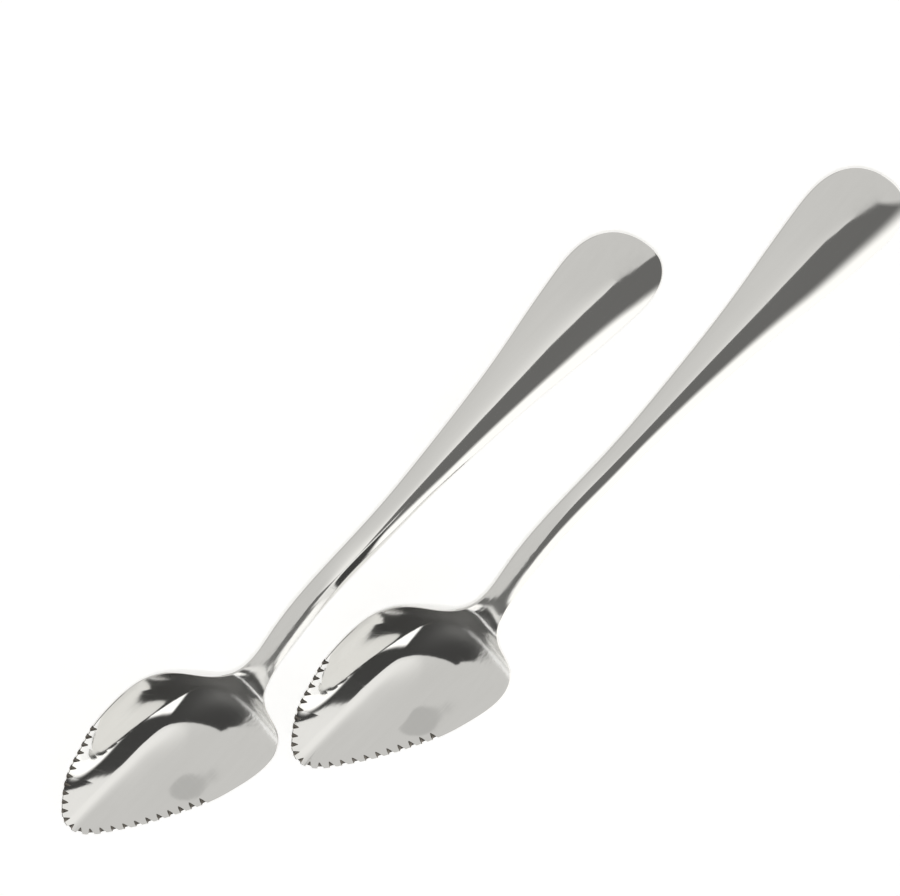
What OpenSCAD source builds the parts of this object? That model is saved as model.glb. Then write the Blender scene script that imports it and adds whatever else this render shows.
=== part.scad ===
// A pair of serrated grapefruit spoons, lying face up side by side.
// Each spoon is one stamped piece of sheet steel: bowl, neck and handle.
// X runs from the bowl's tip to the handle's end, Y across, Z up from the table.

/* [Spoon] */
// Length from the bowl's tip to the handle's end
spoon_l = 165; // [150:1:180]
// Length of the bowl, up to where the neck begins
bowl_l = 52; // [46:0.5:56]
// Width of the bowl at its widest place
bowl_w = 30.2; // [26:0.1:33]
// Depth of the bowl below its rim
bowl_depth = 8.3; // [6.5:0.1:8.6]
// How much the bowl's wall flares towards the rim: 0 is a parabola
wall_flare = 0.4; // [0:0.05:0.6]
// Width of the neck, between the bowl and the handle
neck_w = 5.3; // [4:0.1:7]
// Width of the handle near its end
handle_w = 17.8; // [14:0.1:21]

/* [Thickness] */
// Thickness of the bowl's rim
rim_t = 0.7; // [0.5:0.05:1]
// Thickness of the sheet in the bowl
bowl_t = 1.15; // [0.9:0.05:1.6]
// Thickness in the middle of the neck
neck_t = 3.1; // [2.4:0.1:4]
// Thickness in the middle of the handle
handle_t = 2.1; // [1.6:0.1:3]
// Thickness of the handle's edge
edge_t = 1.1; // [0.8:0.05:1.4]

/* [Curve] */
// Height of the rim at the bowl's tip, above the table
tip_h = 3.4; // [3:0.1:5]
// Height of the edge where the bowl turns into the neck
crest_h = 12.2; // [11:0.1:16]
// Height of the edge at the handle's end
end_h = 0.35; // [0.3:0.05:2.5]
// Height that the neck's upper side is crowned by
neck_crown = 1; // [0.4:0.1:1.2]
// Height that the handle's upper side is crowned by, near its end
handle_crown = 2.1; // [0.8:0.1:2.4]

/* [Serration] */
// Notches on each side of the one at the tip
notch_n = 12; // [6:1:14]
// Distance between two notches, along the rim
notch_pitch = 2.3; // [2:0.05:2.6]
// Width of a notch at the rim
notch_w = 1.35; // [0.8:0.05:1.6]
// Depth of a notch, inwards from the rim
notch_d = 1.35; // [0.8:0.05:1.8]
// Radius of the rounded root of a notch
notch_r = 0.32; // [0.2:0.02:0.38]
// Distance that the row of notches is shifted to the left of the tip
notch_shift = 0.9; // [0:0.1:1.1]

/* [Pair] */
// Distance from the first bowl's widest place back to the second spoon's tip
pair_lead = 1; // [0:0.5:20]
// Clear width between the first bowl and the second spoon's long axis
pair_clear = 8; // [7:0.1:40]
// Angle that the second spoon is turned by
pair_turn = -0.6; // [-2:0.1:2]

/* [Hidden] */

stem_l = spoon_l - bowl_l;
bowl_r = bowl_w / 2;
neck_r = neck_w / 2;
handle_r = handle_w / 2;

// Outline of the bowl: shares of its length, and of half its width
bowl_outline_shares = [
    [0, 0], [0.023, 0.2], [0.077, 0.355], [0.154, 0.521], [0.25, 0.669], [0.346, 0.784],
    [0.46, 0.907], [0.577, 0.975], [0.69, 1], [0.79, 0.945], [0.865, 0.776], [0.933, 0.43]];
// Outline of the stem: shares of its length, and of the step from the neck's width to the handle's
stem_outline_shares = [
    [0, 0.165], [0.035, 0], [0.088, -0.003], [0.177, 0.013], [0.283, 0.034], [0.389, 0.074],
    [0.496, 0.191], [0.602, 0.352], [0.708, 0.57], [0.796, 0.797], [0.867, 0.952]];
// Outline of the rounded end: shares of half the handle's width, back from the end and across
end_outline_shares = [[1.01, 1], [0.506, 0.885], [0.157, 0.59], [0, 0]];

// Height of the edge along the bowl: shares of its length, and of the rise from the tip to the crest
bowl_rise_shares = [[0, 0], [0.154, 0.11], [0.346, 0.375], [0.54, 0.61], [0.73, 0.82], [0.885, 0.935]];
// Height of the edge along the stem: shares of its length, and of the fall from the crest to the end
stem_fall_shares = [
    [0.009, 1], [0.071, 0.79], [0.159, 0.555], [0.292, 0.48], [0.469, 0.378], [0.646, 0.285],
    [0.823, 0.17], [1, 0]];
// Depth of the bowl: shares of its length, and of its depth
bowl_depth_shares = [
    [0, 0], [0.077, 0.147], [0.154, 0.294], [0.288, 0.577], [0.423, 0.822], [0.577, 0.988],
    [0.692, 1], [0.808, 0.834], [0.904, 0.5], [0.981, 0.165]];
// How far the wall flares along the bowl: shares of its length, and of the flare
wall_flare_shares = [[0, 0], [0.2, 1], [0.7, 1], [1, 0]];
// Crown of the stem: shares of its length, and of the neck's and the handle's crowns
stem_crown_shares = [
    [0.018, -0.25, 0], [0.045, 0.5, 0], [0.088, 1, 0], [0.177, 0.9, 0], [0.389, 0.55, 0.16],
    [0.602, 0.1, 0.57],
    [0.823, 0, 0.94], [0.9, 0, 1], [0.955, 0, 0.75], [0.98, 0, 0.4], [1, 0, 0]];
// Thickness in the middle: shares of the bowl's length, and of the step from the rim's to the bowl's
bowl_core_shares = [[0, 0], [0.06, 0.35], [0.154, 0.8], [0.29, 1], [0.81, 1.1]];
// Thickness in the middle: shares of the stem's length, and of the bowl's, the neck's and the handle's
stem_core_shares = [
    [0, 0.35, 0.65, 0], [0.035, 0.08, 0.92, 0], [0.088, 0, 1, 0], [0.177, 0, 0.97, 0],
    [0.389, 0, 0.5, 0.5], [0.602, 0, 0.15, 0.85], [0.823, 0, 0, 1], [0.93, 0, 0, 0.93]];
// Plan distance that the rounded edge is drawn in by, as a share of its thickness
edge_round_share = 0.35;
// Height of the rounded edge's shoulder, as a share of half its thickness
edge_shoulder_share = 0.85;
// Where the rows of points lie, from the edge to the middle line
row_shares = [0.08, 0.2, 0.38, 0.6, 0.8, 1];

// Points on each stretch of an outline curve
curve_steps = 8;
// Stations along half of the bowl's edge, half of the stem's edge and a quarter of the rounded end
bowl_steps = 46;
stem_steps = 26;
end_steps = 14;
// Facets of a notch's rounded root
root_facets = 12;

// Place of the second spoon's tip, from the first one's
pair_x = bowl_l * bowl_outline_shares[8][0] + pair_lead;
pair_y = bowl_r + pair_clear;

function flip(p) = [p[0], -p[1]];
function last(v) = v[len(v) - 1];
function running(v, i = 0, sum = 0) =
    i == len(v) ? [sum] : concat([sum], running(v, i + 1, sum + v[i]));

// Slope at the middle one of three points, for steps h0 and h1 between them
function slope(a, b, c, h0, h1) = ((b - a) * h1 / h0 + (c - b) * h0 / h1) / (h0 + h1);

// Point at share u of the way from a to b, with tangents ta and tb over that stretch
function cubic(a, b, ta, tb, u) =
    (2 * u * u * u - 3 * u * u + 1) * a + (u * u * u - 2 * u * u + u) * ta
    + (3 * u * u - 2 * u * u * u) * b + (u * u * u - u * u) * tb;

// Smooth half outline through points that is mirrored across the X axis at both ends
function half_outline(pts) =
    let (all = concat([flip(pts[1])], pts, [flip(pts[len(pts) - 2])]))
    let (h = [for (i = [0:len(all) - 2]) norm(all[i + 1] - all[i])])
    let (t = [for (i = [1:len(all) - 2]) slope(all[i - 1], all[i], all[i + 1], h[i - 1], h[i])])
    concat(
        [for (i = [0:len(pts) - 2]) for (k = [0:curve_steps - 1])
            cubic(pts[i], pts[i + 1], t[i] * h[i + 1], t[i + 1] * h[i + 1], k / curve_steps)],
        [last(pts)]);

// Smooth curve through [x, value] rows, read at x
function along(rows, x) =
    let (n = len(rows) - 1)
    let (at = max([0, for (i = [0:n - 1]) if (rows[i][0] <= x) i]))
    let (h = rows[at + 1][0] - rows[at][0])
    let (step = rows[at + 1][1] - rows[at][1])
    let (before = at == 0 ? step / h
        : slope(rows[at - 1][1], rows[at][1], rows[at + 1][1], rows[at][0] - rows[at - 1][0], h))
    let (after = at == n - 1 ? step / h
        : slope(rows[at][1], rows[at + 1][1], rows[at + 2][1], h, rows[at + 2][0] - rows[at + 1][0]))
    let (u = min(1, max(0, (x - rows[at][0]) / h)))
    cubic(rows[at][1], rows[at + 1][1], before * h, after * h, u);

outline = half_outline(concat(
    [for (s = bowl_outline_shares) [s[0] * bowl_l, s[1] * bowl_r]],
    [for (s = stem_outline_shares) [bowl_l + s[0] * stem_l, neck_r + s[1] * (handle_r - neck_r)]],
    [for (s = end_outline_shares) [spoon_l - s[0] * handle_r, s[1] * handle_r]]));
outline_arc = running([for (i = [0:len(outline) - 2]) norm(outline[i + 1] - outline[i])]);
edge_l = last(outline_arc);
x_by_arc = [for (i = [0:len(outline) - 1]) [outline_arc[i], outline[i][0]]];
y_by_arc = [for (i = [0:len(outline) - 1]) [outline_arc[i], outline[i][1]]];
arc_by_x = [for (i = [0:len(outline) - 1]) [outline[i][0], outline_arc[i]]];
y_by_x = outline;

rise_rows = concat(
    [for (s = bowl_rise_shares) [s[0] * bowl_l, tip_h + s[1] * (crest_h - tip_h)]],
    [for (s = stem_fall_shares) [bowl_l + s[0] * stem_l, end_h + s[1] * (crest_h - end_h)]]);
form_rows = concat(
    [for (s = bowl_depth_shares) [s[0] * bowl_l, -s[1] * bowl_depth]],
    [for (s = stem_crown_shares) [bowl_l + s[0] * stem_l, s[1] * neck_crown + s[2] * handle_crown]]);
core_rows = concat(
    [for (s = bowl_core_shares) [s[0] * bowl_l, rim_t + s[1] * (bowl_t - rim_t)]],
    [for (s = stem_core_shares)
        [bowl_l + s[0] * stem_l, s[1] * bowl_t + s[2] * neck_t + s[3] * handle_t]],
    [[spoon_l, edge_t]]);

// Thickness of the edge, which grows from the rim's to the handle's behind the bowl's widest place
edge_rows = [[0, rim_t], [bowl_l * 0.75, rim_t], [bowl_l, edge_t], [spoon_l, edge_t]];

// Section of the upper side at share q of the way to the edge: 1 in the middle and 0 at the edge
function hollow(flare, q) = 1 - (1 + flare) * pow(q, 2) + flare * pow(q, 4);
// Upper side at x, at share q of the way from the middle line to the edge
function upper_z(x, q) =
    along(rise_rows, x) + lookup(x, edge_rows) / 2
    + along(form_rows, x) * hollow(wall_flare * lookup(x / bowl_l, wall_flare_shares), q);
function thickness(x, q) =
    lookup(x, edge_rows) + (along(core_rows, x) - lookup(x, edge_rows)) * (1 - pow(q, 2));
// The lower side is flat where it would reach below the table
function lower_z(x, q) = max(0, upper_z(x, q) - thickness(x, q));

// Where the row of points from the edge meets the middle line: rows fan out at both ends
fan_l = bowl_r * 0.5;
fan_start = bowl_r * 0.2;
function fan(arc, back, reach, start) =
    let (w = exp(-pow(arc / reach, 2)))
    back * (1 - w) + (start + arc / 2) * w;
function middle_x(arc) =
    let (x = lookup(arc, x_by_arc))
    arc < edge_l / 2 ? fan(arc, x, fan_l, fan_start)
    : spoon_l - fan(edge_l - arc, spoon_l - x, handle_r, handle_r / 2);

bowl_arc = lookup(bowl_l, arc_by_x);
end_arc = lookup(spoon_l - handle_r, arc_by_x);
stations = concat(
    [for (i = [0:bowl_steps - 1]) bowl_arc * i / bowl_steps],
    [for (i = [0:stem_steps - 1]) bowl_arc + (end_arc - bowl_arc) * i / stem_steps],
    [for (i = [0:end_steps]) end_arc + (edge_l - end_arc) * i / end_steps]);

// Share of the way to the edge at a point of the plan
function across_share(x, y) = let (r = lookup(x, y_by_x)) r > 0 ? min(1, abs(y) / r) : 1;

// One row of points, from the middle line over the top, round the edge and back underneath
function section(arc) =
    let (rim = [lookup(arc, x_by_arc), lookup(arc, y_by_arc)])
    let (root = [middle_x(arc), 0])
    let (inward = (root - rim) / norm(root - rim))
    let (t = lookup(rim[0], edge_rows))
    let (drawn = rim + inward * t * edge_round_share)
    let (half_t = t / 2 * edge_shoulder_share)
    let (edge_z = along(rise_rows, rim[0]))
    let (plan = [for (s = row_shares) drawn + (root - drawn) * s])
    let (inner = [for (p = plan) [p[0], p[1], across_share(p[0], p[1])]])
    concat(
        [for (i = [len(inner) - 1:-1:0]) [inner[i][0], inner[i][1], upper_z(inner[i][0], inner[i][2])]],
        [[drawn[0], drawn[1], edge_z + half_t],
         [rim[0], rim[1], edge_z],
         [drawn[0], drawn[1], max(0, edge_z - half_t)]],
        [for (p = inner) [p[0], p[1], lower_z(p[0], p[2])]]);

rings = [for (a = stations) section(a)];
ring_n = len(rings[0]);
half_count = len(rings) * ring_n;

// Points of the left half, then of the right half; both halves share the points on the middle line
half_points = [for (r = rings) for (p = r) p];
blank_points = concat(half_points, [for (p = half_points) [p[0], -p[1], p[2]]]);
function shared(i, k) = i == 0 || i == len(rings) - 1 || k == 0 || k == ring_n - 1;
function at(i, k, side) = i * ring_n + k + (side == 0 || shared(i, k) ? 0 : half_count);
blank_faces = [
    for (side = [0, 1]) for (i = [0:len(rings) - 2]) for (k = [0:ring_n - 2])
        let (a = at(i, k, side), b = at(i + 1, k, side))
        let (c = at(i + 1, k + 1, side), d = at(i, k + 1, side))
        each (side == 0 ? [[a, c, b], [a, d, c]] : [[a, b, c], [a, c, d]])];

// The spoon as it is stamped, before its rim is serrated
module blank() {
    polyhedron(points = blank_points, faces = blank_faces, convexity = 6);
}

// Cutter for one notch: its root is rounded and it widens to the rim
module notch(arc, side) {
    x = lookup(arc, x_by_arc);
    y = lookup(arc, y_by_arc);
    ahead = [lookup(arc + notch_w / 2, x_by_arc), lookup(arc + notch_w / 2, y_by_arc)];
    behind = arc < notch_w / 2
        ? [lookup(notch_w / 2 - arc, x_by_arc), -lookup(notch_w / 2 - arc, y_by_arc)]
        : [lookup(arc - notch_w / 2, x_by_arc), lookup(arc - notch_w / 2, y_by_arc)];
    along_rim = ahead - behind;
    cut_h = crest_h + bowl_t;
    translate([x, side * y, 0])
        rotate([0, 0, side * atan2(along_rim[1], along_rim[0])])
            hull() {
                translate([0, -side * (notch_d - notch_r), 0])
                    cylinder(r = notch_r, h = cut_h, $fn = root_facets);
                translate([-notch_w / 2, side > 0 ? 0 : -notch_d, 0])
                    cube([notch_w, notch_d, cut_h]);
            }
}

module spoon() {
    color("silver")
        difference() {
            blank();
            for (k = [0:notch_n])
                notch(notch_shift + k * notch_pitch, 1);
            for (k = [1:notch_n])
                notch(k * notch_pitch - notch_shift, -1);
        }
}

// A point of the second spoon's own plan, where it lies beside the first spoon
function beside(p) =
    [pair_x + p[0] * cos(pair_turn) - p[1] * sin(pair_turn),
     p[0] * sin(pair_turn) + p[1] * cos(pair_turn) - pair_y];
pair_plan = [for (p = outline) each [p, flip(p), beside(p), beside(flip(p))]];
centre_x = (max([for (p = pair_plan) p[0]]) + min([for (p = pair_plan) p[0]])) / 2;
centre_y = (max([for (p = pair_plan) p[1]]) + min([for (p = pair_plan) p[1]])) / 2;

module left_spoon() {
    translate([-centre_x, -centre_y, 0])
        spoon();
}

module right_spoon() {
    translate([pair_x - centre_x, -pair_y - centre_y, 0])
        rotate([0, 0, pair_turn])
            spoon();
}

left_spoon();
right_spoon();
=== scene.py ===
"""A pair of polished steel grapefruit spoons on a white table, inside a light tent."""
import math

import bpy
import numpy as np
from mathutils import Matrix, Vector

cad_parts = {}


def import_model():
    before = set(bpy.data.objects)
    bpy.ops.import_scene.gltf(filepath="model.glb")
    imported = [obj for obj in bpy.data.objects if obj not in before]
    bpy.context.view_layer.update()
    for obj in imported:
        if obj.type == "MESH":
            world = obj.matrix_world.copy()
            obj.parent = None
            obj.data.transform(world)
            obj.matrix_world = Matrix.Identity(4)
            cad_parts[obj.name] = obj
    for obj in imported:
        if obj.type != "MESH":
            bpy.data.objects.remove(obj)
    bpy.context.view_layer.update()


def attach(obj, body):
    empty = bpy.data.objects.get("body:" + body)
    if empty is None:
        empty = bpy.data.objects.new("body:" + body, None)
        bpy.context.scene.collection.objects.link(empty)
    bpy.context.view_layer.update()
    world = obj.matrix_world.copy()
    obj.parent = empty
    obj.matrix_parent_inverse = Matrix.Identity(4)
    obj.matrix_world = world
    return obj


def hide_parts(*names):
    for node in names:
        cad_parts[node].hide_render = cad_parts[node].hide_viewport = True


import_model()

# Sizes are in millimetres, and meshes are made in metres
MM = 0.001
# The UV map holds a point's own place on its spoon, in decimetres
OWN_SCALE = 0.01

# Driving sizes of one spoon: the letters stand for length, radius or half width, thickness and height
SPOON_L = 165.0
BOWL_L = 52.0
BOWL_R = 15.1
BOWL_DEPTH = 8.3
WALL_FLARE = 0.4
NECK_R = 2.65
HANDLE_R = 8.9
RIM_T = 0.7
BOWL_T = 1.15
NECK_T = 3.1
HANDLE_T = 2.1
EDGE_T = 1.1
TIP_H = 3.4
CREST_H = 12.2
END_H = 0.35
NECK_CROWN = 1.0
HANDLE_CROWN = 2.1
STEM_L = SPOON_L - BOWL_L

# The row of notches: this many on each side of the one nearest the tip
NOTCH_N = 12
NOTCH_PITCH = 2.3
NOTCH_W = 1.35
NOTCH_D = 1.35
# Share of a notch's depth that is left at the lower side: its floor slopes out to there
NOTCH_UNDER = 0.06
NOTCH_SHIFT = 0.9
# Form of a notch: 1 is a straight V, and more is rounder
NOTCH_POWER = 1.6

# Where the second spoon lies beside the first: its tip is a little past the first bowl's widest place
WIDEST_SHARE = 0.69
PAIR_LEAD = 1
PAIR_CLEAR = 8
PAIR_X = BOWL_L * WIDEST_SHARE + PAIR_LEAD
PAIR_Y = BOWL_R + PAIR_CLEAR
PAIR_TURN = math.radians(-0.6)

# Outline points: shares of the length and of the half width, which on the stem goes from the neck's to the
# handle's. Those of the round end are shares of its radius, counted from the end
BOWL_OUTLINE = [
    (0, 0), (0.023, 0.2), (0.077, 0.355), (0.154, 0.521), (0.25, 0.669), (0.346, 0.784),
    (0.46, 0.907), (0.577, 0.975), (0.69, 1), (0.79, 0.945), (0.865, 0.776), (0.933, 0.43)]
STEM_OUTLINE = [
    (0, 0.165), (0.035, 0), (0.088, -0.003), (0.177, 0.013), (0.283, 0.034), (0.389, 0.074),
    (0.496, 0.191), (0.602, 0.352), (0.708, 0.57), (0.796, 0.797), (0.867, 0.952)]
END_OUTLINE = [(1.01, 1), (0.506, 0.885), (0.157, 0.59), (0, 0)]
# Height of the edge, as shares of the way from the tip or from the end up to the crest
BOWL_RISE = [(0, 0), (0.154, 0.11), (0.346, 0.375), (0.54, 0.61), (0.73, 0.82), (0.885, 0.935)]
STEM_FALL = [
    (0.009, 1), (0.071, 0.79), (0.159, 0.555), (0.292, 0.48), (0.469, 0.378), (0.646, 0.285),
    (0.823, 0.17), (1, 0)]
# Depth of the hollow along the bowl, how much its wall flares, and the crown of the neck and handle
BOWL_FORM = [
    (0, 0), (0.077, 0.147), (0.154, 0.294), (0.288, 0.577), (0.423, 0.822), (0.577, 0.988),
    (0.692, 1), (0.808, 0.834), (0.904, 0.5), (0.981, 0.165)]
FLARE_X, FLARE = (0, 0.2, 0.7, 1), (0, 1, 1, 0)
STEM_CROWN = [
    (0.018, -0.25, 0), (0.045, 0.5, 0), (0.088, 1, 0), (0.177, 0.9, 0), (0.389, 0.55, 0.16),
    (0.602, 0.1, 0.57), (0.823, 0, 0.94), (0.9, 0, 1), (0.955, 0, 0.75), (0.98, 0, 0.4), (1, 0, 0)]
# Thickness at the middle line: in the bowl, shares of the way from the rim's to the bowl's, and on the stem,
# shares of the bowl's, the neck's and the handle's
BOWL_CORE = [(0, 0), (0.06, 0.35), (0.154, 0.8), (0.29, 1), (0.81, 1.1)]
STEM_CORE = [
    (0, 0.35, 0.65, 0), (0.035, 0.08, 0.92, 0), (0.088, 0, 1, 0), (0.177, 0, 0.97, 0),
    (0.389, 0, 0.5, 0.5), (0.602, 0, 0.15, 0.85), (0.823, 0, 0, 1), (0.93, 0, 0, 0.93)]
# Rounding of the edge, as a share of its thickness, and where along the bowl the edge grows thicker
EDGE_ROUND = 0.35
EDGE_GROWS = (0.7, 1.05)
# A notch takes away this share of the rounding, over this much of its depth
NOTCH_SHARP = 0.85
NOTCH_SHARP_D = 0.3

# Rows of mesh points along the outline of the bowl, the stem and the round end, and least gap of two rows
BOWL_ROWS = 180
STEM_ROWS = 190
END_ROWS = 70
TIP_GAP = 0.02
END_GAP = 0.05
ROW_GAP = 0.03
# Rows of points over half a notch, as shares of its half width
NOTCH_STEPS = np.array([-1.03, -1, -0.96, -0.88, -0.76, -0.6, -0.42, -0.22, 0])
# At both ends the rows fan out: reach of the fan and its start, as shares of a half width
FRONT_FAN = 0.5
FRONT_START = 0.2
REAR_START = 0.5
# Across the spoon: close rows in a zone beside the edge, wide ones up to the middle line
ZONE = 2.4
ZONE_SHARE = 0.5
OUTER_SHARES = np.array([0.0, 0.05, 0.12, 0.2, 0.3, 0.42, 0.56, 0.72, 0.88])
INNER_ROWS = 26
EDGE_ANGLES = np.radians([90, 62, 32, 0, -32, -62, -90])
# Deepest cut that still counts as none, and the angle from which an edge is shown sharp
NO_CUT = 0.02
SHARP_ANGLE = math.radians(38)
# Guards against a division by no width, and for a point that lies on the edge
LEAST_WIDTH = 1e-6
ON_EDGE = 1e-9
# The outline's curve: points carried on past each end, and steps of its fine table
CARRIED_ON = 4
FINE_STEPS = 6001

# Polished steel: its two tints, and how many grains its noises have in a metre, along and across the spoon
STEEL_DARK = (0.84, 0.835, 0.815, 1)
STEEL_LIGHT = (0.92, 0.918, 0.905, 1)
LINES = (90, 2600, 2600)
COARSE_LINES = (45, 900, 900)
CLOUD = (38, 60, 60)
HAIRS_A, HAIRS_A_TURN, HAIRS_A_RANGE = (1500, 110, 110), 0.6, (0.66, 0.74)
HAIRS_B, HAIRS_B_TURN, HAIRS_B_RANGE = (1700, 90, 90), -0.9, (0.68, 0.76)
LINES_DEPTH, NECK_LINES_DEPTH = 0.06, 0.9
LINES_BUMP, COARSE_BUMP, HAIRS_BUMP = 0.00002, 0.00004, 0.0000005
ROUGH, CLOUD_ROUGH, HAIRS_ROUGH, NECK_ROUGH, SMUDGE_ROUGH = 0.03, 0.05, 0.03, 0.13, 0.25
# The zone between bowl and neck and the smudge, by the decimetres of the UV map
NECK_START, NECK_END = (0.37, 0.45), (0.78, 0.58)
SMUDGE_PLACE = (1.615, 0.015)
SMUDGE_TIGHT = (14, 22)
SMUDGE_EDGE = (1.0, 0.2)
SMUDGE_GRAIN = (420, 420, 420)

# Ground steel in the notches. Its two tints are painted shade: far darker than steel, they stand for the
# shade in the notches, while the grit and roughness are the real ground finish
GROUND_PAINTED_SHADE_DARK = (0.1, 0.09, 0.08, 1)
GROUND_PAINTED_SHADE_PALE = (0.3, 0.28, 0.25, 1)
GRIT = (2400, 2400, 900)
GRIT_BUMP = 0.00004
GRIT_ROUGH, GROUND_ROUGH = 0.25, 0.2

# View of the photograph, in the first spoon's own axes
PX_PER_MM = 5.62
FRAME_PX = (900, 896)
TIP_PX = (72.0, 818.0)
VIEW_TURN = math.radians(52.07)
VIEW_HIGH = math.radians(51.52)
VIEW_ROLL = math.radians(0.33)
CAMERA_FAR = 4000.0
SENSOR_MM = 36
CLIP_M = (0.1, 100)

# White table, in metres
FLOOR_HALF = 2.0
FLOOR_COLOUR = (0.93, 0.93, 0.93, 1)
FLOOR_ROUGH = 0.9
FLOOR_SPECULAR = 0.1
FLOOR_GLOW = 0.485

# The light tent. The edges of what it holds and of the card beside the handles were picked from rays
# traced off this form at the photograph's light and dark places. So they are fitted to it: this is no plain
# studio. Azimuths run from -300 to 60 degrees, and elevations start at the table
TENT_RADIUS = 3.0
TENT_TINT = (1, 0.99, 0.965, 1)
TENT_AZ = [(-300, -252, 4.0), (-252, -110, 0.4), (-110, 60.1, 5.0)]
TENT_EL = [(-6, 75, 0.4), (75, 90.1, 2.5)]
# Share of the light that the steel gives back, by which a display level becomes a radiance
STEEL_SHARE = 0.88
# Display levels from 0 to 255; more than 255 is brighter than white
TENT_LEVEL = 196.0
LIT_LEVEL = 226.0
BRIGHT_LEVEL = 232.0
RAIL_LEVEL = 176.0
OPENING_LEVEL = 62
OPENING_GLOW = 38
CARD_LEVEL = 262.0
SIDE_DARK_LEVEL = 102.0
SIDE_WHITE_LEVEL = 258.0
# The lit and the brightest part of the tent fade in and out between these azimuths and elevations
FRONT_AZ = (-112, -100)
LIT_AZ, LIT_EL = (-215, -125), (50, 64)
BRIGHT_AZ, BRIGHT_LOW, BRIGHT_HIGH = (-225, -140), (44, 50), (54, 72)
# A glow inside the opening: its middle and its reach
GLOW_AZ, GLOW_AZ_REACH = -170, 16
GLOW_EL, GLOW_EL_REACH = 10, 20
CARD_LEFT, CARD_RIGHT = (-144, -141.5), (-116, -115)
# How soft each edge is, in degrees
OPENING_TOP_SOFT = 0.5
OPENING_LEFT_SOFT = 0.8
OPENING_RIGHT_SOFT = 0.3
CARD_SOFT = 2.5
RAIL_SOFT = 0.8
# Edges in degrees: azimuth and elevation, or elevation and azimuth, where -400 stands for none
OPENING_TOP = [
    (-212, 27), (-207, 30), (-203, 33.5), (-197, 38), (-190, 41.5), (-180, 44.5), (-170, 45.5),
    (-160, 45.5), (-152, 44.5), (-146, 44), (-141, 44.5), (-135.5, 46), (-129, 46.5), (-124, 44),
    (-120.5, 38), (-118, 29), (-116.5, 18), (-115.4, 0)]
OPENING_LEFT = [
    (-40, -174), (-17, -176.5), (-6, -181), (2, -185), (14, -195), (24, -204.5), (30, -208), (40, -210)]
OPENING_RIGHT = [(-10, -119), (0, -117.8), (7, -116.5), (15, -115.9), (40, -115.3)]
CARD_TOP = [(-150, 35), (-143, 31.5), (-138, 28), (-132, 21.5), (-127, 15), (-124, 11), (-115, 11)]
RAIL_AZ = [
    (27, -400), (28, -224), (31, -226), (33, -228.5), (36, -230.5), (40, -232), (43, -234), (45, -400)]

# The card beside the handles, in millimetres along the spoon from the first tip, and in height
SIDE_Y = -60.0
SIDE_X_GRID = (16, 320, 2.0)
SIDE_Z_GRID = (0, 190, 2.0)
SIDE_TOP = [
    (20, 175), (62, 165), (78, 150), (94, 140), (110, 130), (142, 120), (154, 105), (184, 78), (200, 62)]
SIDE_LOW = [(20, 75), (50, 66), (60, 58), (72, 45), (90, 43), (110, 43), (132, 33), (157, 25), (200, 22)]
SIDE_LEFT = [(0, 46), (92, 46), (108, 20)]
SIDE_TOP_SOFT = 2
SIDE_LOW_SOFT = 8
SIDE_LEFT_SOFT = 6
SIDE_DARK_END = (200, 206)
SIDE_WHITE_END = (290, 310)
LEAST_COVER = 0.001


class Spline:
    """A smooth curve through points, with a steady second slope; its ends are straight."""

    def __init__(self, at, values):
        self.at = np.asarray(at, float)
        self.v = np.asarray(values, float)
        n = len(self.at)
        h = np.diff(self.at)
        d = (np.diff(self.v, axis=0).T / h).T
        m = np.zeros((n, n))
        rhs = np.zeros_like(self.v)
        m[0, 0] = m[-1, -1] = 1
        for i in range(1, n - 1):
            m[i, i - 1 : i + 2] = h[i - 1], 2 * (h[i - 1] + h[i]), h[i]
            rhs[i] = 6 * (d[i] - d[i - 1])
        self.bend = np.linalg.solve(m, rhs)
        self.h = h

    def __call__(self, x):
        x = np.clip(x, self.at[0], self.at[-1])
        i = np.clip(np.searchsorted(self.at, x, side="right") - 1, 0, len(self.h) - 1)
        h = self.h[i]
        a = (self.at[i + 1] - x) / h
        b = 1 - a
        if self.v.ndim > 1:
            a, b, h = a[..., None], b[..., None], h[..., None]
        bend = (a**3 - a) * self.bend[i] + (b**3 - b) * self.bend[i + 1]
        return a * self.v[i] + b * self.v[i + 1] + bend * h * h / 6


def outline_spline():
    """Half outline as a curve of its chord length, carried on across the middle line at both ends."""
    pts = [(s * BOWL_L, w * BOWL_R) for s, w in BOWL_OUTLINE]
    pts += [(BOWL_L + s * STEM_L, NECK_R + w * (HANDLE_R - NECK_R)) for s, w in STEM_OUTLINE]
    pts += [(SPOON_L - s * HANDLE_R, w * HANDLE_R) for s, w in END_OUTLINE]
    pts = np.array(pts)
    mirrored = pts * [1, -1]
    ring = np.vstack([mirrored[CARRIED_ON:0:-1], pts, mirrored[-2 : -2 - CARRIED_ON : -1]])
    t = np.r_[0, np.cumsum(np.linalg.norm(np.diff(ring, axis=0), axis=1))]
    t -= t[CARRIED_ON]
    return Spline(t, ring), t[CARRIED_ON + len(pts) - 1]


OUTLINE, OUTLINE_END = outline_spline()
FINE_T = np.linspace(0, OUTLINE_END, FINE_STEPS)
FINE_XY = OUTLINE(FINE_T)
FINE_ARC = np.r_[0, np.cumsum(np.linalg.norm(np.diff(FINE_XY, axis=0), axis=1))]
EDGE_L = FINE_ARC[-1]


def rim_at(arc):
    """Point of the outline at a distance along it from the tip."""
    return OUTLINE(np.interp(arc, FINE_ARC, FINE_T))


def half_width(x):
    """Half the spoon's width at x."""
    t = np.interp(x, FINE_XY[:, 0], FINE_T)
    return np.interp(t, FINE_T, FINE_XY[:, 1])


def rows(bowl, stem):
    """A spline along the spoon from values on the bowl and on the stem."""
    pts = [(s * BOWL_L, v) for s, v in bowl] + [(BOWL_L + s * STEM_L, v) for s, v in stem]
    return Spline([p[0] for p in pts], [p[1] for p in pts])


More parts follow.
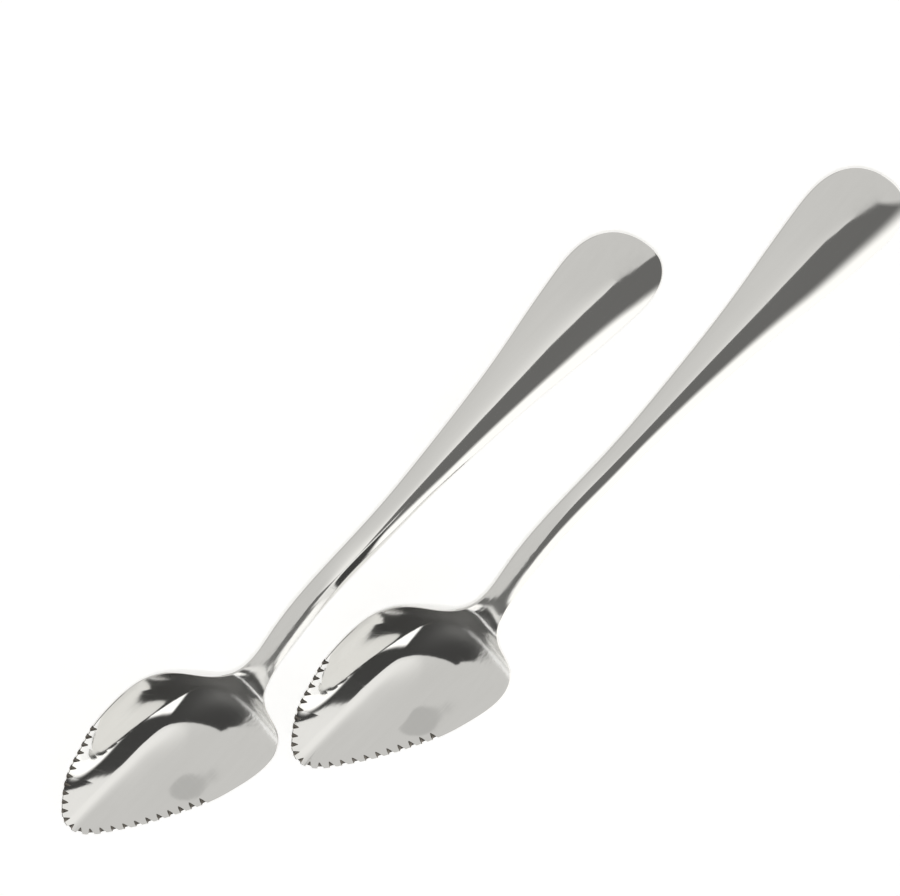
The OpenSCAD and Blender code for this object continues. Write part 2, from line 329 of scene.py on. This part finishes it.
RISE = rows(
    [(s, TIP_H + v * (CREST_H - TIP_H)) for s, v in BOWL_RISE],
    [(s, END_H + v * (CREST_H - END_H)) for s, v in STEM_FALL])
FORM = rows(
    [(s, -v * BOWL_DEPTH) for s, v in BOWL_FORM],
    [(s, n * NECK_CROWN + w * HANDLE_CROWN) for s, n, w in STEM_CROWN])
CORE = rows(
    [(s, RIM_T + v * (BOWL_T - RIM_T)) for s, v in BOWL_CORE],
    [(s, b * BOWL_T + n * NECK_T + w * HANDLE_T) for s, b, n, w in STEM_CORE] + [(1, EDGE_T)])


def ease(x, start, end):
    """0 before start, 1 after end, and a smooth step between."""
    u = np.clip((x - start) / (end - start), 0, 1)
    return u * u * u * (10 - 15 * u + 6 * u * u)


def edge_t(x):
    """Thickness of the edge at x."""
    return RIM_T + (EDGE_T - RIM_T) * ease(x, BOWL_L * EDGE_GROWS[0], BOWL_L * EDGE_GROWS[1])


def upper_z(x, q):
    """Height of the upper side at x, at share q of the way from the middle line to the edge."""
    flare = WALL_FLARE * np.interp(x / BOWL_L, FLARE_X, FLARE)
    return RISE(x) + edge_t(x) / 2 + FORM(x) * (1 - (1 + flare) * q**2 + flare * q**4)


def lower_z(x, q):
    """Height of the lower side, which never goes below the table."""
    t = edge_t(x) + (CORE(x) - edge_t(x)) * (1 - q**2)
    return np.maximum(0, upper_z(x, q) - t)


def notch_depth(arc, side):
    """How deep the rim is cut at a distance from the tip; side is 1 on the left and -1 on the right."""
    first = 0 if side > 0 else 1
    centres = side * NOTCH_SHIFT + NOTCH_PITCH * np.arange(first, NOTCH_N + 1)
    u = np.abs(arc[:, None] - centres[None]).min(axis=1) / (NOTCH_W / 2)
    return NOTCH_D * (1 - np.minimum(u, 1) ** NOTCH_POWER)


def station_arcs():
    """Distances from the tip at which the mesh has a row of points, close together at the notches."""
    bowl_arc = np.interp(BOWL_L, FINE_XY[:, 0], FINE_ARC)
    end_arc = np.interp(SPOON_L - HANDLE_R, FINE_XY[:, 0], FINE_ARC)
    arcs = [
        np.linspace(0, bowl_arc, BOWL_ROWS), np.linspace(bowl_arc, end_arc, STEM_ROWS),
        np.linspace(end_arc, EDGE_L, END_ROWS)]
    steps = np.r_[NOTCH_STEPS, -NOTCH_STEPS[:-1]] * NOTCH_W / 2
    for side in (1, -1):
        for k in range(0 if side > 0 else 1, NOTCH_N + 1):
            arcs.append(side * NOTCH_SHIFT + k * NOTCH_PITCH + steps)
    arcs = np.sort(np.concatenate(arcs))
    arcs = arcs[(arcs > TIP_GAP) & (arcs < EDGE_L - END_GAP)]
    keep = [0.0]
    for a in arcs:
        if a - keep[-1] > ROW_GAP:
            keep.append(a)
    return np.array(keep + [EDGE_L])


def middle_x(arc, x):
    """Where the row of points from the edge meets the middle line: the rows fan out at both ends."""
    def fan(a, back, reach, start):
        w = np.exp(-((a / reach) ** 2))
        return back * (1 - w) + (start + a / 2) * w
    front = fan(arc, x, BOWL_R * FRONT_FAN, BOWL_R * FRONT_START)
    rear = SPOON_L - fan(EDGE_L - arc, SPOON_L - x, HANDLE_R, HANDLE_R * REAR_START)
    return np.where(arc < EDGE_L / 2, front, rear)


def half_rows(arcs, side):
    """Rows of points of one half: from the middle line over the top, round the edge and back below."""
    rim = rim_at(arcs)
    root = np.c_[middle_x(arcs, rim[:, 0]), np.zeros(len(arcs))]
    reach = np.linalg.norm(root - rim, axis=1)
    inward = (root - rim) / reach[:, None]
    cut = notch_depth(arcs, side)
    round_r = edge_t(rim[:, 0]) * EDGE_ROUND * (1 - NOTCH_SHARP * np.minimum(1, cut / NOTCH_SHARP_D))
    zone = np.minimum(ZONE, ZONE_SHARE * reach)

    def point(dist):
        p = rim + inward * dist[:, None]
        w = half_width(p[:, 0])
        q = np.clip(np.abs(p[:, 1]) / np.maximum(w, LEAST_WIDTH), 0, 1)
        q = np.where(dist <= ON_EDGE, 1.0, q)
        return p, q

    def dists(cut):
        out = [round_r + (zone - round_r) * s + cut * (1 - s) for s in OUTER_SHARES]
        return out + [zone + (reach - zone) * k / INNER_ROWS for k in range(INNER_ROWS + 1)]

    top, bottom = [], []
    for d, under in zip(dists(cut), dists(cut * NOTCH_UNDER)):
        p, q = point(d)
        top.append(np.c_[p, upper_z(p[:, 0], q)])
        p, q = point(under)
        bottom.append(np.c_[p, lower_z(p[:, 0], q)])
    edge = []
    middle = (top[0][:, 2] + bottom[0][:, 2]) / 2
    rise = (top[0][:, 2] - bottom[0][:, 2]) / 2
    for a in EDGE_ANGLES[1:-1]:
        slope = (1 + math.sin(a)) / 2
        p, q = point(cut * (NOTCH_UNDER + (1 - NOTCH_UNDER) * slope) + round_r * (1 - math.cos(a)))
        edge.append(np.c_[p, middle + rise * math.sin(a)])
    out = np.stack(top[::-1] + edge + bottom, axis=1)
    out[..., 1] *= side
    return out


def spoon_mesh(name, place, materials):
    """One spoon as a closed mesh. place is the function that lays its points where it belongs."""
    arcs = station_arcs()
    left, right = half_rows(arcs, 1), half_rows(arcs, -1)
    n, m = left.shape[:2]
    tip_and_end = (0, n - 1)
    points = np.concatenate([left.reshape(-1, 3), right.reshape(-1, 3)])

    def index(i, k, side):
        shared = i in tip_and_end or k in (0, m - 1)
        return i * m + k + (0 if side == 0 or shared else n * m)

    first_edge = INNER_ROWS + len(OUTER_SHARES)
    faces, marks = [], []
    cuts = [notch_depth((arcs[1:] + arcs[:-1]) / 2, s) for s in (1, -1)]
    for side in (0, 1):
        for i in range(n - 1):
            for k in range(m - 1):
                ring = ((i, k), (i, k + 1), (i + 1, k + 1), (i + 1, k))
                quad = list(dict.fromkeys(index(*corner, side) for corner in ring))
                if len(quad) < 3:
                    continue
                faces.append(quad if side == 0 else quad[::-1])
                on_edge = first_edge <= k < first_edge + len(EDGE_ANGLES) - 1
                # Faces on a notch's edge take the second material, the ground steel with its painted shade
                marks.append(1 if on_edge and cuts[side][i] > NO_CUT else 0)
    used = np.zeros(len(points), bool)
    for f in faces:
        used[f] = True
    new = np.cumsum(used) - 1
    mesh = bpy.data.meshes.new(name)
    mesh.from_pydata(place(points[used]) * MM, [], [[int(new[j]) for j in f] for f in faces])
    mesh.materials.append(materials[0])
    mesh.materials.append(materials[1])
    mesh.polygons.foreach_set("material_index", marks)
    own = points[used][:, :2] * OWN_SCALE
    at_corner = np.empty(len(mesh.loops), np.int32)
    mesh.loops.foreach_get("vertex_index", at_corner)
    mesh.uv_layers.new(name="own_place").data.foreach_set("uv", own[at_corner].ravel())
    mesh.shade_smooth()
    mesh.set_sharp_from_angle(angle=SHARP_ANGLE)
    mesh.update()
    obj = bpy.data.objects.new(name, mesh)
    bpy.context.collection.objects.link(obj)
    return obj


def centre_of_pair():
    """Middle of the pair's outline, from the first spoon's tip."""
    xy = np.vstack([FINE_XY, FINE_XY * [1, -1]])
    both = np.vstack([xy, beside(xy)])
    return (both.max(axis=0) + both.min(axis=0)) / 2


def beside(p):
    """Plan points of the second spoon, where it lies beside the first."""
    c, s = math.cos(PAIR_TURN), math.sin(PAIR_TURN)
    q = p.copy()
    q[:, 0] = PAIR_X + p[:, 0] * c - p[:, 1] * s
    q[:, 1] = p[:, 0] * s + p[:, 1] * c - PAIR_Y
    return q


CENTRE = centre_of_pair()


def lay_left(p):
    """Points of the first spoon, moved so that the pair's middle is at the origin."""
    q = p.copy()
    q[:, :2] -= CENTRE
    return q


def lay_right(p):
    """Points of the second spoon, laid beside the first."""
    return lay_left(beside(p))


class Nodes:
    """Short ways to build a node tree."""

    def __init__(self, name):
        self.mat = bpy.data.materials.new(name)
        self.mat.use_nodes = True
        self.tree = self.mat.node_tree
        self.bsdf = self.tree.nodes["Principled BSDF"]

    def add(self, kind, **settings):
        """A new shader node of this kind."""
        node = self.tree.nodes.new("ShaderNode" + kind)
        for key, value in settings.items():
            setattr(node, key, value)
        return node

    def put(self, node, socket, value):
        """Links an output to a socket, or sets the socket's own value."""
        if hasattr(value, "is_output"):
            self.tree.links.new(value, node.inputs[socket])
        else:
            node.inputs[socket].default_value = value

    def math(self, operation, a, b=0.0, c=0.0):
        """Output of a Math node."""
        node = self.add("Math", operation=operation)
        for i, v in enumerate((a, b, c)):
            self.put(node, i, v)
        return node.outputs[0]

    def step(self, value, low, high):
        """0 at low, 1 at high, and a smooth step between."""
        node = self.add("MapRange", interpolation_type="SMOOTHSTEP")
        for i, v in enumerate((value, low, high)):
            self.put(node, i, v)
        return node.outputs[0]

    def noise(self, vector, stretch, detail, turn=0.0):
        """Noise that is stretched and turned by its mapping alone."""
        place = self.add("Mapping")
        self.put(place, "Vector", vector)
        self.put(place, "Rotation", (0, 0, turn))
        self.put(place, "Scale", stretch)
        node = self.add("TexNoise")
        self.put(node, "Vector", place.outputs[0])
        self.put(node, "Scale", 1.0)
        self.put(node, "Detail", detail)
        return node.outputs["Fac"]

    def bump(self, height, distance, normal=None):
        """Normal of a bump, laid over another bump's normal where one is given."""
        node = self.add("Bump")
        self.put(node, "Height", height)
        self.put(node, "Distance", distance)
        if normal is not None:
            self.put(node, "Normal", normal)
        return node.outputs[0]


def polished_steel():
    """Steel with fine grinding lines, hairline scratches and a dull smudge near the handle's end."""
    n = Nodes("polished_steel")
    coords = n.add("TexCoord")
    where = coords.outputs["Object"]
    own = n.add("SeparateXYZ")
    n.put(own, 0, coords.outputs["UV"])
    x, y = own.outputs[0], own.outputs[1]
    # Fine lines of the last grinding run along the spoon, and stay deeper where the bowl meets the neck
    lines = n.noise(where, LINES, 3)
    coarse = n.noise(where, COARSE_LINES, 2)
    neck = n.math("MULTIPLY", n.step(x, *NECK_START), n.step(x, *NECK_END))
    # Hairline scratches from use, in two directions
    hairs_a = n.step(n.noise(where, HAIRS_A, 1, HAIRS_A_TURN), *HAIRS_A_RANGE)
    hairs_b = n.step(n.noise(where, HAIRS_B, 1, HAIRS_B_TURN), *HAIRS_B_RANGE)
    hairs = n.math("ADD", hairs_a, hairs_b)
    dx = n.math("MULTIPLY", n.math("SUBTRACT", x, SMUDGE_PLACE[0]), SMUDGE_TIGHT[0])
    dy = n.math("MULTIPLY", n.math("SUBTRACT", y, SMUDGE_PLACE[1]), SMUDGE_TIGHT[1])
    spot = n.math("ADD", n.math("MULTIPLY", dx, dx), n.math("MULTIPLY", dy, dy))
    smudge = n.math("MULTIPLY", n.step(spot, *SMUDGE_EDGE), n.noise(where, SMUDGE_GRAIN, 3))
    cloud = n.noise(where, CLOUD, 3)
    rough = n.math("MULTIPLY_ADD", cloud, CLOUD_ROUGH, ROUGH)
    rough = n.math("MULTIPLY_ADD", hairs, HAIRS_ROUGH, rough)
    rough = n.math("MULTIPLY_ADD", neck, NECK_ROUGH, rough)
    rough = n.math("MULTIPLY_ADD", smudge, SMUDGE_ROUGH, rough)
    n.put(n.bsdf, "Roughness", rough)
    tint = n.add("Mix", data_type="RGBA")
    n.put(tint, "Factor", n.math("MULTIPLY", n.math("ADD", coarse, cloud), 0.5))
    n.put(tint, "A", STEEL_DARK)
    n.put(tint, "B", STEEL_LIGHT)
    n.put(n.bsdf, "Base Color", tint.outputs["Result"])
    n.put(n.bsdf, "Metallic", 1.0)
    depth = n.math("MULTIPLY_ADD", neck, NECK_LINES_DEPTH, LINES_DEPTH)
    bumped = n.bump(n.math("MULTIPLY", lines, depth), LINES_BUMP)
    bumped = n.bump(n.math("MULTIPLY", coarse, depth), COARSE_BUMP, bumped)
    bumped = n.bump(hairs, HAIRS_BUMP, bumped)
    n.put(n.bsdf, "Normal", bumped)
    return n.mat


def ground_steel_painted_shade():
    """Rougher, ground steel in the notches, with painted shade: a colour far darker than steel stands for the
    shade in them.
    """
    n = Nodes("ground_steel_painted_shade")
    where = n.add("TexCoord").outputs["Object"]
    grit = n.noise(where, GRIT, 3)
    tint = n.add("Mix", data_type="RGBA")
    n.put(tint, "Factor", grit)
    n.put(tint, "A", GROUND_PAINTED_SHADE_DARK)
    n.put(tint, "B", GROUND_PAINTED_SHADE_PALE)
    n.put(n.bsdf, "Base Color", tint.outputs["Result"])
    n.put(n.bsdf, "Metallic", 1.0)
    n.put(n.bsdf, "Roughness", n.math("MULTIPLY_ADD", grit, GRIT_ROUGH, GROUND_ROUGH))
    n.put(n.bsdf, "Normal", n.bump(grit, GRIT_BUMP))
    return n.mat


def camera():
    """Camera far away at the photograph's viewing angle, which has the picture's upper edge nearest."""
    ca, sa = math.cos(VIEW_TURN), math.sin(VIEW_TURN)
    ce, se = math.cos(VIEW_HIGH), math.sin(VIEW_HIGH)
    level_right = Vector((ca, -sa, 0))
    level_up = Vector((sa * se, ca * se, -ce))
    back = level_right.cross(level_up)
    cr, sr = math.cos(VIEW_ROLL), math.sin(VIEW_ROLL)
    right = level_right * cr - level_up * sr
    up = level_right * sr + level_up * cr
    tip = Vector((-CENTRE[0], -CENTRE[1], 0))
    across = (FRAME_PX[0] / 2 - TIP_PX[0]) / PX_PER_MM
    above = (TIP_PX[1] - FRAME_PX[1] / 2) / PX_PER_MM
    middle = tip + right * across + up * above
    data = bpy.data.cameras.new("camera")
    cam = bpy.data.objects.new("camera", data)
    bpy.context.collection.objects.link(cam)
    data.sensor_width = SENSOR_MM
    data.lens = data.sensor_width * CAMERA_FAR / (FRAME_PX[0] / PX_PER_MM)
    data.clip_start, data.clip_end = CLIP_M
    turn = Matrix((right, up, back)).transposed().to_4x4()
    cam.matrix_world = Matrix.Translation((middle + back * CAMERA_FAR) * MM) @ turn
    bpy.context.scene.camera = cam


def stage_mesh(name, points, faces, mat, glow=None, cover=None):
    """A mesh of the surroundings, with its glow and cover kept at its points."""
    mesh = bpy.data.meshes.new(name)
    mesh.from_pydata([tuple(p) for p in points], [], faces)
    for key, values in (("glow", glow), ("cover", cover)):
        if values is not None:
            attribute = mesh.attributes.new(key, "FLOAT", "POINT")
            attribute.data.foreach_set("value", np.asarray(values, np.float32))
    mesh.materials.append(mat)
    obj = bpy.data.objects.new(name, mesh)
    bpy.context.collection.objects.link(obj)
    return obj


def floor():
    """White table: the camera and gloss see its glow on top of the light that falls on it."""
    n = Nodes("floor")
    n.put(n.bsdf, "Base Color", FLOOR_COLOUR)
    n.put(n.bsdf, "Roughness", FLOOR_ROUGH)
    n.put(n.bsdf, "Specular IOR Level", FLOOR_SPECULAR)
    path = n.add("LightPath")
    seen = n.math("MAXIMUM", path.outputs["Is Camera Ray"], path.outputs["Is Glossy Ray"])
    seen = n.math("MAXIMUM", seen, path.outputs["Is Transmission Ray"])
    n.put(n.bsdf, "Emission Color", (1, 1, 1, 1))
    n.put(n.bsdf, "Emission Strength", n.math("MULTIPLY", seen, FLOOR_GLOW))
    half = FLOOR_HALF
    corners = [(-half, -half, 0), (half, -half, 0), (half, half, 0), (-half, half, 0)]
    stage_mesh("floor", corners, [(0, 1, 2, 3)], n.mat)


def world():
    """An even white world."""
    w = bpy.data.worlds.new("studio")
    bpy.context.scene.world = w
    w.use_nodes = True
    w.node_tree.nodes["Background"].inputs["Color"].default_value = (1, 1, 1, 1)


def level(display):
    """Radiance that polished steel shows at a display level from 0 to 255, by the sRGB curve."""
    v = display / 255
    return np.where(v > 0.04045, ((v + 0.055) / 1.055) ** 2.4, v / 12.92) / STEEL_SHARE


def table(v, rows):
    """Value at v on the straight lines between rows of two numbers."""
    return np.interp(v, [r[0] for r in rows], [r[1] for r in rows])


def step(v, low, high):
    """0 at low, 1 at high, and a smooth step between."""
    u = np.clip((v - low) / (high - low), 0, 1)
    return u * u * (3 - 2 * u)


def past(v, edge, soft):
    """Smooth step from 0 to 1 where v goes past a soft edge."""
    return step(v - edge, -soft, soft)


def mix(a, b, f):
    """a where f is 0 and b where it is 1."""
    return a * (1 - f) + b * f


def dome_level(az, el):
    """Display level of the light tent at an azimuth and an elevation."""
    front = 1 - step(az, *FRONT_AZ)
    lev = mix(TENT_LEVEL, LIT_LEVEL, step(az, *LIT_AZ) * (1 - step(el, *LIT_EL)) * front)
    # Its brightest part stands over the opening
    over_opening = step(el, *BRIGHT_LOW) * (1 - step(el, *BRIGHT_HIGH))
    lev = mix(lev, BRIGHT_LEVEL, over_opening * step(az, *BRIGHT_AZ) * front)
    # A grey rail on the tent's left side
    lev = mix(lev, RAIL_LEVEL, 1 - past(az, table(el, RAIL_AZ), RAIL_SOFT))
    # The tent's dark opening
    dark = 1 - past(el, table(az, OPENING_TOP), OPENING_TOP_SOFT)
    dark = dark * past(az, table(el, OPENING_LEFT), OPENING_LEFT_SOFT)
    dark = dark * (1 - past(az, table(el, OPENING_RIGHT), OPENING_RIGHT_SOFT))
    away = ((az - GLOW_AZ) / GLOW_AZ_REACH) ** 2 + ((el - GLOW_EL) / GLOW_EL_REACH) ** 2
    lev = mix(lev, OPENING_LEVEL + OPENING_GLOW * np.exp(-away), dark)
    # A white card that stands in it
    card = 1 - past(el, table(az, CARD_TOP), CARD_SOFT)
    card = card * step(az, *CARD_LEFT) * (1 - step(az, *CARD_RIGHT))
    return mix(lev, CARD_LEVEL, card)


def glow_material(name, covered):
    """Light by the mesh's own glow, and see-through where its cover is 0."""
    mat = bpy.data.materials.new(name)
    mat.use_nodes = True
    nodes, links = mat.node_tree.nodes, mat.node_tree.links
    nodes.clear()
    out = nodes.new("ShaderNodeOutputMaterial")
    emit = nodes.new("ShaderNodeEmission")
    emit.inputs["Color"].default_value = TENT_TINT
    glow = nodes.new("ShaderNodeAttribute")
    glow.attribute_name = "glow"
    links.new(glow.outputs["Fac"], emit.inputs["Strength"])
    if covered:
        clear = nodes.new("ShaderNodeBsdfTransparent")
        cover = nodes.new("ShaderNodeAttribute")
        cover.attribute_name = "cover"
        both = nodes.new("ShaderNodeMixShader")
        links.new(cover.outputs["Fac"], both.inputs["Fac"])
        links.new(clear.outputs[0], both.inputs[1])
        links.new(emit.outputs[0], both.inputs[2])
        links.new(both.outputs[0], out.inputs["Surface"])
    else:
        links.new(emit.outputs[0], out.inputs["Surface"])
    mat.cycles.emission_sampling = "NONE"
    return mat


def grid_faces(n, m):
    """Faces of a grid of n by m points."""
    firsts = [i * m + k for i in range(n - 1) for k in range(m - 1)]
    return [(f, f + m, f + m + 1, f + 1) for f in firsts]


def dome():
    """The light tent round the table, which the camera doesn't see."""
    az = np.concatenate([np.arange(*part) for part in TENT_AZ])
    el = np.concatenate([np.arange(*part) for part in TENT_EL])
    az, el = np.meshgrid(az, el, indexing="ij")
    a, e = np.radians(az.ravel()), np.radians(el.ravel())
    points = TENT_RADIUS * np.c_[np.cos(a) * np.cos(e), np.sin(a) * np.cos(e), np.sin(e)]
    glow = level(dome_level(az, el).ravel())
    obj = stage_mesh("tent", points, grid_faces(*az.shape), glow_material("tent", False), glow)
    obj.visible_camera = False


def side_card():
    """A card close to the handles, dark above and white below, which only reflections see."""
    x, z = np.meshgrid(np.arange(*SIDE_X_GRID), np.arange(*SIDE_Z_GRID), indexing="ij")
    faces = grid_faces(*x.shape)
    x, z = x.ravel(), z.ravel()
    left = table(z, SIDE_LEFT)
    within = step(x, left, left + SIDE_LEFT_SOFT)
    over_low = past(z, table(x, SIDE_LOW), SIDE_LOW_SOFT)
    under_top = 1 - past(z, table(x, SIDE_TOP), SIDE_TOP_SOFT)
    dark = under_top * over_low * within * (1 - step(x, *SIDE_DARK_END))
    white = (1 - over_low) * within * (1 - step(x, *SIDE_WHITE_END))
    cover = np.clip(dark + white, 0, 1)
    glow = level(mix(SIDE_DARK_LEVEL, SIDE_WHITE_LEVEL, white / np.maximum(cover, LEAST_COVER)))
    points = np.c_[x - CENTRE[0], np.full(len(x), SIDE_Y - CENTRE[1]), z] * MM
    obj = stage_mesh("side_card", points, faces, glow_material("side_card", True), glow, cover)
    obj.visible_camera = False
    obj.visible_diffuse = False
    obj.visible_shadow = False


camera()
world()
floor()
dome()
side_card()
# The second material is the notches' ground steel, painted dark as painted shade
steel = (polished_steel(), ground_steel_painted_shade())
for piece_name, body, node, lay in (
        ("left_polished_spoon", "left", "left_spoon", lay_left),
        ("right_polished_spoon", "right", "right_spoon", lay_right)):
    piece = spoon_mesh(piece_name, lay, steel)
    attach(piece, body)
    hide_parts(node)

bpy.context.scene.view_settings.view_transform = "Standard"
